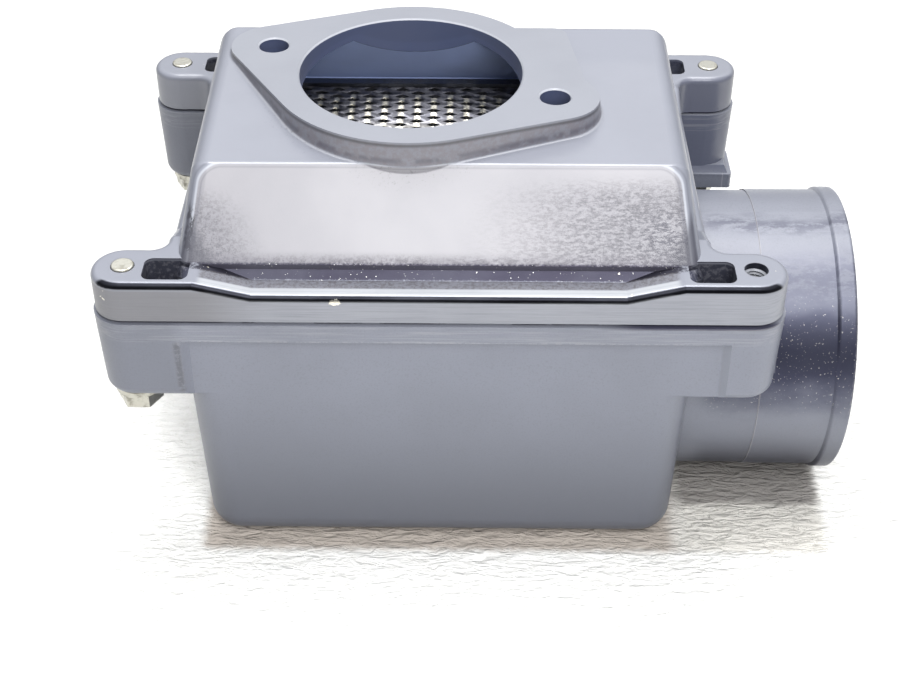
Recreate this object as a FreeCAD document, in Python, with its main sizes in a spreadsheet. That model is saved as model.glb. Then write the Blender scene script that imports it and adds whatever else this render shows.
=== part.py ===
import FreeCAD, Part
import math
import os
import Sketcher

# Cast air box: a hollow lower case with a round hose pipe, a hollow upper case with sloping
# walls and an oval two-bolt flange, and a screened element clamped at the joint between them.
# Millimetres, +Z up. The origin is on the base plane, at the centre of the four case bolts.
# Front is -Y, and the hose pipe points to +X.

doc = FreeCAD.newDocument("air_box")

SIZES = [
    ("bolt_pitch_x", 156.0),
    ("bolt_pitch_y", 104.0),
    ("joint_z", 77.6),
    ("gasket_thick", 0.8),
    ("gasket_inset", 0.7),
    ("ear_radius", 8.0),
    ("ear_thick", 11.1),
    ("ear_blend", 4.0),
    ("flange_thick", 7.6),
    ("flange_side", 68.5),
    ("ramp_run", 14.0),
    ("side_ramp", 30.0),
    ("edge_round", 1.8),
    ("hole_chamfer", 0.4),
    ("hood_side", 67.0),
    ("hood_lean", 5.9),
    ("hood_root_y", 50.7),
    ("riser_height", 11.6),
    ("root_flare", 2.2),
    ("root_rise", 1.8),
    ("roof_front_y", 32.0),
    ("roof_front_height", 29.4),
    ("roof_rear_y", 30.0),
    ("roof_rear_height", 35.2),
    ("hood_wall", 3.5),
    ("hood_corner", 5.0),
    ("roof_round", 1.5),
    ("boss_height", 35.9),
    ("boss_root", 16.0),
    ("boss_blend", 0.8),
    ("bore_radius", 29.5),
    ("bore_x", -8.2),
    ("bore_y", 4.2),
    ("ring_width", 7.6),
    ("flange_pitch", 80.0),
    ("flange_turn", 20.0),
    ("lobe_radius", 11.5),
    ("flange_hole", 4.0),
    ("boss_draft", 6.0),
    ("wing_x", 36.8),
    ("wing_lean", 3.4),
    ("wing_y", 28.6),
    ("wing_round", 4.0),
    ("pocket_web", 5.2),
    ("rear_pocket_web", 7.1),
    ("pocket_length", 11.4),
    ("rear_pocket_length", 9.4),
    ("pocket_margin", 1.4),
    ("pocket_rim", 2.3),
    ("rear_pocket_rim", 4.2),
    ("pocket_width", 9.0),
    ("pocket_round", 2.2),
    ("pocket_floor", 2.5),
    ("thread_radius", 3.0),
    ("clear_radius", 3.4),
    ("step_out", 0.6),
    ("band_depth", 5.2),
    ("box_side", 66.0),
    ("box_front", 58.8),
    ("box_lean", 0.0332),
    ("box_wall", 4.0),
    ("box_corner", 9.0),
    ("box_bottom", 8.0),
    ("ear_depth", 24.0),
    ("ear_foot_round", 3.0),
    ("left_web", 62.5),
    ("right_web", 71.0),
    ("web_slope", 4.0),
    ("pipe_radius", 38.9),
    ("pipe_wall", 3.0),
    ("pipe_y", -9.7),
    ("pipe_over", 1.1),
    ("pipe_end", 109.0),
    ("pipe_gap", 0.4),
    ("pipe_step_x", 84.5),
    ("pipe_step", 0.3),
    ("bead_rise", 0.8),
    ("bead_width", 4.4),
    ("lug_reach", 1.2),
    ("lug_thick", 4.7),
    ("lug_lift", 4.3),
    ("lug_fillet", 2.2),
    ("element_gap", 1.2),
    ("element_sheet", 1.0),
    ("element_top", 10.4),
    ("element_depth", 14.0),
    ("element_lip", 3.0),
    ("rim_rest", 2.4),
    ("rim_gap", 0.3),
    ("screen_thick", 1.2),
    ("screen_long", 10.8),
    ("screen_short", 15.6),
    ("screen_strand", 2.4),
    ("bolt_radius", 2.9),
    ("bolt_proud", 0.5),
    ("head_flats", 10.0),
    ("head_height", 4.0),
    ("washer_radius", 6.2),
    ("washer_thick", 1.6),
]

sheet = doc.addObject("Spreadsheet::Sheet", "Sizes")
for row, (name, number) in enumerate(SIZES, start=1):
    sheet.set("A%d" % row, name)
    sheet.set("B%d" % row, str(number))
    sheet.setAlias("B%d" % row, name)
doc.recompute()

NAMES = sorted((name for name, _ in SIZES), key=len, reverse=True)


def size(name):
    return float(sheet.get(name))


def bind(thing, prop, formula):
    """Tie a property to a formula; a size is written as @name."""
    for name in NAMES:
        formula = formula.replace("@" + name, "Sizes." + name)
    thing.setExpression(prop, formula)


def value(formula):
    """The number that a formula gives now, for drawing a sketch where it will settle."""
    for name in NAMES:
        formula = formula.replace("@" + name, "(%r)" % size(name))
    return float(FreeCAD.Units.Quantity(formula).Value)


# Heights above the base plane that several pieces share.
SEAT = "@joint_z+@gasket_thick"
LOW = "@joint_z+@gasket_thick+@flange_thick"
EAR_TOP = "@joint_z+@gasket_thick+@ear_thick"
BOSS_TOP = "@joint_z+@boss_height"
EAR_UNDER = "@joint_z-@ear_depth"
BOLT_X = "@bolt_pitch_x/2"
BOLT_Y = "@bolt_pitch_y/2"
PIPE_Z = "@joint_z+@pipe_over-@pipe_radius"
CORNERS = {
    "front_left": (-1, -1),
    "front_right": (1, -1),
    "rear_left": (-1, 1),
    "rear_right": (1, 1),
}


def new_body(name):
    return doc.addObject("PartDesign::Body", name)


def new_sketch(body, name, role, level=None):
    drawing = body.newObject("Sketcher::SketchObject", name)
    base = [item for item in body.Origin.OriginFeatures if item.Role == role][0]
    drawing.AttachmentSupport = [(base, "")]
    drawing.MapMode = "FlatFace"
    if level is not None:
        bind(drawing, "AttachmentOffset.Base.z", level)
    return drawing


def hold(drawing, kind, geo, end, formula):
    if end is None:
        rule = Sketcher.Constraint(kind, geo, value(formula))
    else:
        rule = Sketcher.Constraint(kind, geo, end, value(formula))
    number = drawing.addConstraint(rule)
    bind(drawing, "Constraints[%d]" % number, formula)


def polygon(drawing, corners):
    """A closed outline of straight lines, each corner held at its two formulas."""
    spots = [FreeCAD.Vector(value(across), value(up), 0) for across, up in corners]
    first = drawing.GeometryCount
    count = len(corners)
    for start, stop in zip(spots, spots[1:] + spots[:1]):
        drawing.addGeometry(Part.LineSegment(start, stop), False)
    for step in range(count):
        after = first + (step + 1) % count
        drawing.addConstraint(Sketcher.Constraint("Coincident", first + step, 2, after, 1))
    for step, (across, up) in enumerate(corners):
        hold(drawing, "DistanceX", first + step, 1, across)
        hold(drawing, "DistanceY", first + step, 1, up)


def rectangle(drawing, half_x, half_y):
    polygon(drawing, [
        ("-(%s)" % half_x, "-(%s)" % half_y),
        (half_x, "-(%s)" % half_y),
        (half_x, half_y),
        ("-(%s)" % half_x, half_y),
    ])


def circle(drawing, across, up, radius):
    center = FreeCAD.Vector(value(across), value(up), 0)
    round_edge = Part.Circle(center, FreeCAD.Vector(0, 0, 1), value(radius))
    geo = drawing.addGeometry(round_edge, False)
    hold(drawing, "DistanceX", geo, 3, across)
    hold(drawing, "DistanceY", geo, 3, up)
    hold(drawing, "Radius", geo, None, radius)


def eared_outline(drawing, radius, side):
    """The case joint in plan: a rectangle with a round-ended ear at each corner."""
    far_x, far_y = value(BOLT_X), value(BOLT_Y)
    turn, edge = value(radius), value(side)
    upward = FreeCAD.Vector(0, 0, 1)

    def spot(x, y):
        return FreeCAD.Vector(x, y, 0)

    def ear(x, y, start):
        rim = Part.Circle(spot(x, y), upward, turn)
        return Part.ArcOfCircle(rim, start, start + math.pi)

    near = far_y - turn
    shape = [
        Part.LineSegment(spot(-far_x, -far_y - turn), spot(far_x, -far_y - turn)),
        ear(far_x, -far_y, -math.pi / 2),
        Part.LineSegment(spot(far_x, -near), spot(edge, -near)),
        Part.LineSegment(spot(edge, -near), spot(edge, near)),
        Part.LineSegment(spot(edge, near), spot(far_x, near)),
        ear(far_x, far_y, -math.pi / 2),
        Part.LineSegment(spot(far_x, far_y + turn), spot(-far_x, far_y + turn)),
        ear(-far_x, far_y, math.pi / 2),
        Part.LineSegment(spot(-far_x, near), spot(-edge, near)),
        Part.LineSegment(spot(-edge, near), spot(-edge, -near)),
        Part.LineSegment(spot(-edge, -near), spot(-far_x, -near)),
        ear(-far_x, -far_y, math.pi / 2),
    ]
    for geometry in shape:
        drawing.addGeometry(geometry, False)
    for arc in (1, 5, 7, 11):
        drawing.addConstraint(Sketcher.Constraint("Tangent", arc - 1, 2, arc, 1))
        drawing.addConstraint(Sketcher.Constraint("Tangent", arc, 2, (arc + 1) % 12, 1))
        hold(drawing, "Radius", arc, None, radius)
    for line in (2, 3, 8, 9):
        drawing.addConstraint(Sketcher.Constraint("Coincident", line, 2, line + 1, 1))
    for line in (2, 4, 8, 10):
        drawing.addConstraint(Sketcher.Constraint("Horizontal", line))
    for arc, sign_x, sign_y in ((1, "", "-"), (5, "", ""), (7, "-", ""), (11, "-", "-")):
        hold(drawing, "DistanceX", arc, 3, sign_x + BOLT_X)
        hold(drawing, "DistanceY", arc, 3, sign_y + BOLT_Y)
    hold(drawing, "DistanceX", 3, 1, side)
    hold(drawing, "DistanceX", 3, 2, side)
    hold(drawing, "DistanceX", 9, 1, "-(%s)" % side)
    hold(drawing, "DistanceX", 9, 2, "-(%s)" % side)


def pad(body, name, drawing, length, down=False, taper=None, middle=False):
    block = body.newObject("PartDesign::Pad", name)
    block.Profile = drawing
    bind(block, "Length", length)
    block.Reversed = down
    if middle:
        block.SideType = "Symmetric"
    if taper is not None:
        bind(block, "TaperAngle", taper)
    doc.recompute()
    return block


def pocket(body, name, drawing, length=None, up=False, middle=False, taper=None):
    """A pocket, which has to take metal away."""
    before = body.Shape.Volume
    hollow = body.newObject("PartDesign::Pocket", name)
    hollow.Profile = drawing
    if length is None:
        hollow.Type = "ThroughAll"
    else:
        bind(hollow, "Length", length)
    hollow.Reversed = up
    if middle:
        hollow.SideType = "Symmetric"
    if taper is not None:
        bind(hollow, "TaperAngle", taper)
    doc.recompute()
    if body.Shape.Volume > before - 1e-3:
        raise RuntimeError("%s cut nothing" % name)
    return hollow


def round_edges(body, name, radius, wanted):
    """Round the edges of the body's last feature that a test on the edge picks."""
    base = body.Tip
    picked = []
    for number, edge in enumerate(base.Shape.Edges, start=1):
        if wanted(edge):
            picked.append("Edge%d" % number)
    if not picked:
        raise RuntimeError("%s found no edges" % name)
    fillet = body.newObject("PartDesign::Fillet", name)
    fillet.Base = (base, picked)
    bind(fillet, "Radius", radius)
    doc.recompute()
    return fillet


def rises(edge, least=5.0):
    limits = edge.BoundBox
    return limits.ZLength > least


def flat_at(edge, level):
    limits = edge.BoundBox
    return abs(limits.ZMin - level) < 1e-3 and abs(limits.ZMax - level) < 1e-3


def join(name, *pieces):
    result = doc.addObject("Part::MultiFuse", name)
    result.Shapes = list(pieces)
    result.Refine = True
    doc.recompute()
    return result


def cut(name, base, tool):
    before = base.Shape.Volume
    result = doc.addObject("Part::Cut", name)
    result.Base = base
    result.Tool = tool
    result.Refine = True
    doc.recompute()
    if result.Shape.Volume > before - 1e-3:
        raise RuntimeError("%s cut nothing" % name)
    return result


# The upper case: hood, oval flange and bolting rim.

def hood(name, inset, floor, root_y, side, roof_drop, slope_in, foot=()):
    """The sloping-walled hood: its side profile padded, then its two leaning sides cut."""
    body = new_body(name)
    profile = new_sketch(body, name + "_profile", "YZ_Plane")
    front_foot = [("-(%s)" % across, up) for across, up in foot] or [("-(%s)" % root_y, floor)]
    rear_foot = list(reversed(foot)) or [(root_y, floor)]
    polygon(profile, front_foot + [
        ("-(%s)" % root_y, "@joint_z+@riser_height-%s*0.4" % inset),
        ("-(@roof_front_y-%s)" % slope_in, "@joint_z+@roof_front_height-%s" % roof_drop),
        ("@roof_rear_y-%s" % slope_in, "@joint_z+@roof_rear_height-%s" % roof_drop),
        (root_y, "@joint_z+@riser_height-%s*0.4" % inset),
    ] + rear_foot)
    pad(body, name + "_block", profile, "2*(%s)" % side, middle=True)
    flanks = new_sketch(body, name + "_flanks", "XZ_Plane")
    for sign in ("", "-"):
        polygon(flanks, [
            ("%s(%s)" % (sign, side), floor),
            ("%s(%s+10)" % (sign, side), floor),
            ("%s(%s+10)" % (sign, side), BOSS_TOP),
            ("%s(%s-@hood_lean)" % (sign, side), BOSS_TOP),
        ])
    pocket(body, name + "_leaning_sides", flanks, middle=True)
    return body


# The hood's foot flares out where it meets the rim, and runs on down into the ear pockets.
FLARE = [
    ("@hood_root_y+@root_flare*1.4", SEAT),
    ("@hood_root_y+@root_flare", LOW),
    ("@hood_root_y", LOW + "+@root_rise"),
]
hood_outer = hood("hood_outer", "0", SEAT, "@hood_root_y", "@hood_side", "0", "0", foot=FLARE)
round_edges(hood_outer, "hood_corners", "@hood_corner",
            lambda edge: rises(edge, 0.3) and edge.BoundBox.XLength > 0.03)
roof_low = size("joint_z") + size("roof_front_height") - 0.5
round_edges(hood_outer, "roof_edges", "@roof_round",
            lambda edge: edge.BoundBox.ZMin > roof_low)

hood_inner = hood("hood_inner", "@hood_wall", SEAT + "-1", "@hood_root_y-@hood_wall",
                  "@hood_side-@hood_wall", "@hood_wall", "@hood_wall*0.4")
round_edges(hood_inner, "cavity_corners", "@hood_corner-@hood_wall+1",
            lambda edge: rises(edge) and edge.BoundBox.XLength > 0.3)

# The oval flange: a ring about the bore and a lobe about each of its two bolt holes. It is
# drawn along its own length and then turned about the bore.


def oval_outline(drawing):
    """The hull of the ring circle and the two lobe circles: arcs joined by tangents."""
    ring = value("@bore_radius+@ring_width")
    lobe = size("lobe_radius")
    reach = size("flange_pitch") / 2
    lean = math.acos((ring - lobe) / reach)
    upward = FreeCAD.Vector(0, 0, 1)

    def on(center_x, radius, angle):
        return FreeCAD.Vector(center_x + radius * math.cos(angle), radius * math.sin(angle), 0)

    def arc(center_x, radius, start, stop):
        rim = Part.Circle(FreeCAD.Vector(center_x, 0, 0), upward, radius)
        return Part.ArcOfCircle(rim, start, stop)

    back = math.pi - lean
    shape = [
        arc(0, ring, lean, back),
        Part.LineSegment(on(0, ring, back), on(-reach, lobe, back)),
        arc(-reach, lobe, back, math.pi + lean),
        Part.LineSegment(on(-reach, lobe, math.pi + lean), on(0, ring, math.pi + lean)),
        arc(0, ring, math.pi + lean, 2 * math.pi - lean),
        Part.LineSegment(on(0, ring, -lean), on(reach, lobe, -lean)),
        arc(reach, lobe, -lean, lean),
        Part.LineSegment(on(reach, lobe, lean), on(0, ring, lean)),
    ]
    for geometry in shape:
        drawing.addGeometry(geometry, False)
    for step in range(8):
        rule = Sketcher.Constraint("Tangent", step, 2, (step + 1) % 8, 1)
        drawing.addConstraint(rule)
    for geo, across in ((0, "0"), (2, "-@flange_pitch/2"), (4, "0"), (6, "@flange_pitch/2")):
        hold(drawing, "DistanceX", geo, 3, across)
        hold(drawing, "DistanceY", geo, 3, "0")
    hold(drawing, "Radius", 0, None, "@bore_radius+@ring_width")
    hold(drawing, "Radius", 2, None, "@lobe_radius")
    hold(drawing, "Radius", 4, None, "@bore_radius+@ring_width")
    hold(drawing, "Radius", 6, None, "@lobe_radius")


def turn_about_bore(body):
    body.Placement = FreeCAD.Placement(FreeCAD.Vector(0, 0, 0),
                                       FreeCAD.Rotation(FreeCAD.Vector(0, 0, 1), 0))
    bind(body, "Placement.Base.x", "@bore_x")
    bind(body, "Placement.Base.y", "@bore_y")
    bind(body, "Placement.Rotation.Angle", "-@flange_turn*1deg")


boss = new_body("oval_flange")
boss_plan = new_sketch(boss, "oval_plan", "XY_Plane", BOSS_TOP)
oval_outline(boss_plan)
pad(boss, "oval_skirt", boss_plan, "@boss_root", down=True, taper="@boss_draft")
turn_about_bore(boss)

# Behind the right lobe the flange face runs on into the roof as a flat wing.
wing = new_body("flange_wing")
wing_plan = new_sketch(wing, "wing_plan", "XY_Plane", BOSS_TOP)
polygon(wing_plan, [
    ("@bore_x", "@bore_y"),
    ("@wing_x+1", "@bore_y-@bore_radius/4"),
    ("@wing_x", "@bore_y"),
    ("@wing_x-@wing_lean", "@wing_y"),
    ("@bore_x", "@wing_y"),
])
pad(wing, "wing_plate", wing_plan, "@boss_root/3", down=True)
wing_corner_x = value("@wing_x-@wing_lean")
round_edges(wing, "wing_corner", "@wing_round",
            lambda edge: rises(edge, 3.0) and abs(edge.BoundBox.XMax - wing_corner_x) < 0.01)

# The bolting flange: the eared outline padded to ear height, then lowered between the ears.
rim = new_body("upper_rim")
rim_plan = new_sketch(rim, "upper_rim_plan", "XY_Plane", SEAT)
eared_outline(rim_plan, "@ear_radius", "@flange_side")
pad(rim, "upper_rim_block", rim_plan, "@ear_thick")
RAMP_TOP = BOLT_X + "-@pocket_web-@pocket_length-@pocket_margin"
RAMP_FOOT = RAMP_TOP + "-@ramp_run"
front_view = new_sketch(rim, "upper_rim_front", "XZ_Plane")
polygon(front_view, [
    ("-(%s)" % RAMP_FOOT, LOW),
    (RAMP_FOOT, LOW),
    (RAMP_TOP, EAR_TOP),
    (RAMP_TOP, EAR_TOP + "+5"),
    ("-(%s)" % RAMP_TOP, EAR_TOP + "+5"),
    ("-(%s)" % RAMP_TOP, EAR_TOP),
])
pocket(rim, "upper_rim_low_front", front_view, middle=True)
side_view = new_sketch(rim, "upper_rim_side", "YZ_Plane")
SIDE_RAMP = BOLT_Y + "-@ear_radius-@ear_blend-1"
polygon(side_view, [
    ("-@side_ramp", LOW),
    ("@side_ramp", LOW),
    (SIDE_RAMP, EAR_TOP),
    (SIDE_RAMP, EAR_TOP + "+5"),
    ("-(%s)" % SIDE_RAMP, EAR_TOP + "+5"),
    ("-(%s)" % SIDE_RAMP, EAR_TOP),
])
pocket(rim, "upper_rim_low_side", side_view, middle=True)
side_x = size("flange_side")
round_edges(rim, "upper_ear_blends", "@ear_blend",
            lambda edge: rises(edge) and edge.BoundBox.XLength < 0.01
            and abs(abs(edge.BoundBox.XMax) - side_x) < 0.01)
seat_z = value(SEAT)
round_edges(rim, "upper_rim_edges", "@edge_round",
            lambda edge: edge.BoundBox.ZMin > seat_z + 1
            and (edge.BoundBox.YMax < -value(BOLT_Y) + size("ear_radius") + 8
                 or edge.BoundBox.YMin > value(BOLT_Y) - size("ear_radius") - 8
                 or abs(abs(edge.BoundBox.XMax) - side_x) < 0.01)
            and not (abs(edge.BoundBox.YLength) > 100 or
                     (edge.BoundBox.YLength > 15 and edge.BoundBox.XLength < 0.01
                      and abs(edge.BoundBox.XMax) < side_x - 1)))
ear_pockets = new_sketch(rim, "ear_pocket_plan", "XY_Plane", EAR_TOP)
pocket_ends = []
for sign_y, web, length, edge in (
        ("-", "@pocket_web", "@pocket_length", "@pocket_rim"),
        ("", "@rear_pocket_web", "@rear_pocket_length", "@rear_pocket_rim")):
    outer = "%s-%s" % (BOLT_X, web)
    inner = "%s-%s" % (outer, length)
    far = "%s(%s+@ear_radius-%s)" % (sign_y, BOLT_Y, edge)
    near = "%s(%s+@ear_radius-%s-@pocket_width)" % (sign_y, BOLT_Y, edge)
    pocket_ends += [value(outer), value(inner)]
    for sign_x in ("", "-"):
        polygon(ear_pockets, [
            ("%s(%s)" % (sign_x, inner), far),
            ("%s(%s)" % (sign_x, outer), far),
            ("%s(%s)" % (sign_x, outer), near),
            ("%s(%s)" % (sign_x, inner), near),
        ])
pocket(rim, "ear_pockets", ear_pockets, "@ear_thick-@pocket_floor")
round_edges(rim, "ear_pocket_corners", "@pocket_round",
            lambda edge: rises(edge) and edge.BoundBox.XLength < 0.01
            and edge.BoundBox.YLength < 0.01
            and any(abs(abs(edge.BoundBox.XMax) - end) < 0.01 for end in pocket_ends))
thread_plan = new_sketch(rim, "thread_plan", "XY_Plane", EAR_TOP)
for sign_x in ("", "-"):
    for sign_y in ("", "-"):
        circle(thread_plan, sign_x + BOLT_X, sign_y + BOLT_Y, "@thread_radius")
pocket(rim, "case_bolt_threads", thread_plan)

upper_mass = join("upper_mass", hood_outer, boss, wing, rim)


# A small blend runs round the foot of the skirt; it follows on from the skirt's front edge.
ring_front = value("@bore_y-@bore_radius-@ring_width")
foot = []
for number, edge in enumerate(upper_mass.Shape.Edges, start=1):
    middle = edge.valueAt((edge.FirstParameter + edge.LastParameter) / 2)
    near_front = abs(middle.y - ring_front) < 2 and abs(middle.x - size("bore_x")) < 1
    if near_front and middle.z < value(BOSS_TOP) - 2:
        foot.append((number, size("boss_blend"), size("boss_blend")))
blended = doc.addObject("Part::Fillet", "upper_blended")
blended.Base = upper_mass
blended.Edges = foot
doc.recompute()

bores = new_body("flange_bores")
bore_plan = new_sketch(bores, "bore_plan", "XY_Plane", BOSS_TOP + "+1")
circle(bore_plan, "0", "0", "@bore_radius")
circle(bore_plan, "@flange_pitch/2", "0", "@flange_hole")
circle(bore_plan, "-@flange_pitch/2", "0", "@flange_hole")
pad(bores, "bore_cores", bore_plan, "@boss_root+1", down=True)
turn_about_bore(bores)

upper_core = join("upper_core", hood_inner, bores)
upper_bored = cut("upper_bored", blended, upper_core)

# The bore and the two flange holes have a light chamfer on the machined face.
hole_rims = [2 * math.pi * size(name) for name in ("bore_radius", "flange_hole")]
chamfered = []
for number, edge in enumerate(upper_bored.Shape.Edges, start=1):
    is_rim = any(abs(edge.Length - around) < 0.01 for around in hole_rims)
    if is_rim and flat_at(edge, value(BOSS_TOP)):
        chamfered.append((number, size("hole_chamfer"), size("hole_chamfer")))
upper_case = doc.addObject("Part::Chamfer", "upper_case")
upper_case.Base = upper_bored
upper_case.Edges = chamfered
doc.recompute()
upper_case.Label = "upper_case"

# The joint gasket, a little smaller than the flanges that it lies between.

gasket = new_body("joint_gasket")
gasket_plan = new_sketch(gasket, "gasket_plan", "XY_Plane", "@joint_z")
eared_outline(gasket_plan, "@ear_radius-@gasket_inset", "@flange_side-@gasket_inset")
pad(gasket, "gasket_sheet", gasket_plan, "@gasket_thick")
window_plan = new_sketch(gasket, "gasket_window_plan", "XY_Plane", "@joint_z")
rectangle(window_plan, "@hood_side-@hood_wall", "@hood_root_y-@hood_wall+@rim_rest")
pocket(gasket, "gasket_window", window_plan, "@gasket_thick", up=True)
hole_plan = new_sketch(gasket, "gasket_hole_plan", "XY_Plane", "@joint_z")
for sign_x in ("", "-"):
    for sign_y in ("", "-"):
        circle(hole_plan, sign_x + BOLT_X, sign_y + BOLT_Y, "@clear_radius")
pocket(gasket, "gasket_holes", hole_plan, "@gasket_thick", up=True)
gasket.Label = "joint_gasket"

# The lower case: a drafted tub with a flange band, four hanging ears and the hose pipe.

tub = new_body("tub_outer")
tub_plan = new_sketch(tub, "tub_plan", "XY_Plane", "@joint_z")
rectangle(tub_plan, "@box_side", "@box_front")
pad(tub, "tub_block", tub_plan, "@joint_z", down=True, taper="-atan(@box_lean)")
round_edges(tub, "tub_corners", "@box_corner", lambda edge: rises(edge, 20))
round_edges(tub, "tub_bottom", "@box_bottom", lambda edge: flat_at(edge, 0.0))

hollow = new_body("tub_inner")
hollow_plan = new_sketch(hollow, "hollow_plan", "XY_Plane", "@joint_z")
rectangle(hollow_plan, "@box_side-@box_wall", "@box_front-@box_wall")
pad(hollow, "hollow_block", hollow_plan, "@joint_z-@box_wall", down=True,
    taper="-atan(@box_lean)")
round_edges(hollow, "hollow_corners", "@box_corner-@box_wall",
            lambda edge: rises(edge, 20))
floor_z = size("box_wall")
round_edges(hollow, "hollow_bottom", "@box_bottom-@box_wall",
            lambda edge: flat_at(edge, floor_z))

# The lower flange band stands a little proud of the upper one, and the ears hang from it.
band = new_body("lower_band")
band_plan = new_sketch(band, "band_plan", "XY_Plane", "@joint_z")
eared_outline(band_plan, "@ear_radius+@step_out", "@flange_side+@step_out")
pad(band, "band_block", band_plan, "@ear_depth", down=True, taper="-atan(@box_lean)")
BAND_UNDER = "@joint_z-@band_depth"
EAR_INNER = BOLT_Y + "-@ear_radius-@step_out"
under_side = new_sketch(band, "under_side", "YZ_Plane")
polygon(under_side, [
    ("-(%s)" % EAR_INNER, EAR_UNDER + "-1"),
    (EAR_INNER, EAR_UNDER + "-1"),
    (EAR_INNER, BAND_UNDER),
    ("-(%s)" % EAR_INNER, BAND_UNDER),
])
pocket(band, "band_under_side", under_side, middle=True)
ear_foot = value(EAR_UNDER)
round_edges(band, "ear_feet", "@ear_foot_round", lambda edge: flat_at(edge, ear_foot)
            and abs(edge.BoundBox.XMax) > size("box_side") + 0.5)

# Between the ears the band is cut back below to the wall of the tub, front and rear. The cut
# stops near the corner of the tub on the left and half way along the ear on the right.
under_front = new_sketch(band, "under_front", "XY_Plane", BAND_UNDER)
WALL_Y = "@box_front-@band_depth*@box_lean"
for sign_y in ("", "-"):
    polygon(under_front, [
        ("-@left_web", "%s(%s)" % (sign_y, WALL_Y)),
        ("@right_web", "%s(%s)" % (sign_y, WALL_Y)),
        ("@right_web+2*@web_slope", "%s(%s+@ear_radius)" % (sign_y, WALL_Y)),
        ("-@left_web-2*@web_slope", "%s(%s+@ear_radius)" % (sign_y, WALL_Y)),
    ])
pocket(band, "band_under_front", under_front, "@ear_depth", taper="atan(@box_lean)")

# The cast lug under the rear right ear.
lug = new_body("rear_lug")
LUG_UNDER = EAR_UNDER + "+@lug_lift-@lug_thick"
lug_plan = new_sketch(lug, "lug_plan", "XY_Plane", LUG_UNDER)
polygon(lug_plan, [
    ("@box_side-6", EAR_INNER + "-@lug_reach"),
    (BOLT_X + "+@ear_radius+@lug_reach", EAR_INNER + "-@lug_reach"),
    (BOLT_X + "+@ear_radius+@lug_reach", BOLT_Y + "+@ear_radius/2"),
    (BOLT_X, BOLT_Y + "+@ear_radius"),
    ("@box_side-6", BOLT_Y + "+@ear_radius/2"),
])
pad(lug, "lug_plate", lug_plan, "@lug_thick")
round_edges(lug, "lug_corner", "@lug_fillet/2", lambda edge: rises(edge, 2)
            and edge.BoundBox.XMin > size("box_side") + 12)
lug_saddle = new_sketch(lug, "lug_saddle_plan", "XY_Plane", LUG_UNDER + "+@lug_thick")
polygon(lug_saddle, [
    ("@box_side-6", EAR_INNER + "-@lug_reach/4"),
    (BOLT_X + "+@ear_radius", EAR_INNER + "-@lug_reach/4"),
    (BOLT_X + "+@ear_radius", BOLT_Y),
    ("@box_side-6", BOLT_Y),
])
pad(lug, "lug_saddle", lug_saddle, "@lug_fillet", taper="-25")

# The hose pipe: its half section, with the step and the end bead, turned about its axis.
pipe = new_body("hose_pipe")
pipe_section = new_sketch(pipe, "pipe_section", "XZ_Plane")
polygon(pipe_section, [
    ("@box_side-10", "0"),
    ("@pipe_end", "0"),
    ("@pipe_end", "@pipe_radius+@bead_rise"),
    ("@pipe_end-@bead_width", "@pipe_radius+@bead_rise"),
    ("@pipe_end-@bead_width-@bead_rise", "@pipe_radius"),
    ("@pipe_step_x", "@pipe_radius"),
    ("@pipe_step_x", "@pipe_radius-@pipe_step"),
    ("@box_side-10", "@pipe_radius-@pipe_step"),
])
turned = pipe.newObject("PartDesign::Revolution", "pipe_turned")
turned.Profile = pipe_section
turned.ReferenceAxis = (pipe_section, ["H_Axis"])
turned.Angle = 360
doc.recompute()
end_x = size("pipe_end")
round_edges(pipe, "bead_rounds", "@bead_rise",
            lambda edge: edge.Curve.TypeId == "Part::GeomCircle"
            and edge.BoundBox.XMin > end_x - size("bead_width") - 0.01)
relief = new_sketch(pipe, "pipe_relief_plan", "XZ_Plane")
polygon(relief, [
    ("@box_side-11", "@pipe_radius-@pipe_over"),
    ("@flange_side+@step_out+@pipe_gap", "@pipe_radius-@pipe_over"),
    ("@flange_side+@step_out+@pipe_gap", "@pipe_radius+@pipe_wall"),
    ("@box_side-11", "@pipe_radius+@pipe_wall"),
])
pocket(pipe, "pipe_relief", relief, middle=True)
bind(pipe, "Placement.Base.y", "@pipe_y")
bind(pipe, "Placement.Base.z", PIPE_Z)

pipe_bore = doc.addObject("Part::Cylinder", "pipe_bore")
pipe_bore.Placement = FreeCAD.Placement(FreeCAD.Vector(0, 0, 0),
                                        FreeCAD.Rotation(FreeCAD.Vector(0, 1, 0), 90))
bind(pipe_bore, "Radius", "@pipe_radius-@pipe_wall")
bind(pipe_bore, "Height", "@pipe_end+1-@box_side+11")
bind(pipe_bore, "Placement.Base.x", "@box_side-11")
bind(pipe_bore, "Placement.Base.y", "@pipe_y")
bind(pipe_bore, "Placement.Base.z", PIPE_Z)

# The element's rim lies in a rebate round the mouth of the lower case.
rebate = new_body("rim_rebate")
rebate_plan = new_sketch(rebate, "rebate_plan", "XY_Plane", "@joint_z")
RIM_X = "@box_side-@box_wall+@rim_rest"
RIM_Y = "@box_front-@box_wall+@rim_rest"
rectangle(rebate_plan, RIM_X, RIM_Y)
pad(rebate, "rebate_block", rebate_plan, "@element_sheet", down=True)

# Clearance holes for the case bolts run down through the ears.
clear = new_body("clear_holes")
clear_plan = new_sketch(clear, "clear_plan", "XY_Plane", "@joint_z+1")
for sign_x in ("", "-"):
    for sign_y in ("", "-"):
        circle(clear_plan, sign_x + BOLT_X, sign_y + BOLT_Y, "@clear_radius")
pad(clear, "clear_cores", clear_plan, "@ear_depth+@lug_thick+2", down=True)

lower_mass = join("lower_mass", tub, band, lug, pipe)
lower_core = join("lower_core", hollow, pipe_bore, rebate, clear)
lower_case = cut("lower_case", lower_mass, lower_core)
lower_case.Label = "lower_case"

# The screened element: a folded frame with an expanded-metal screen behind each mouth.

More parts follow.
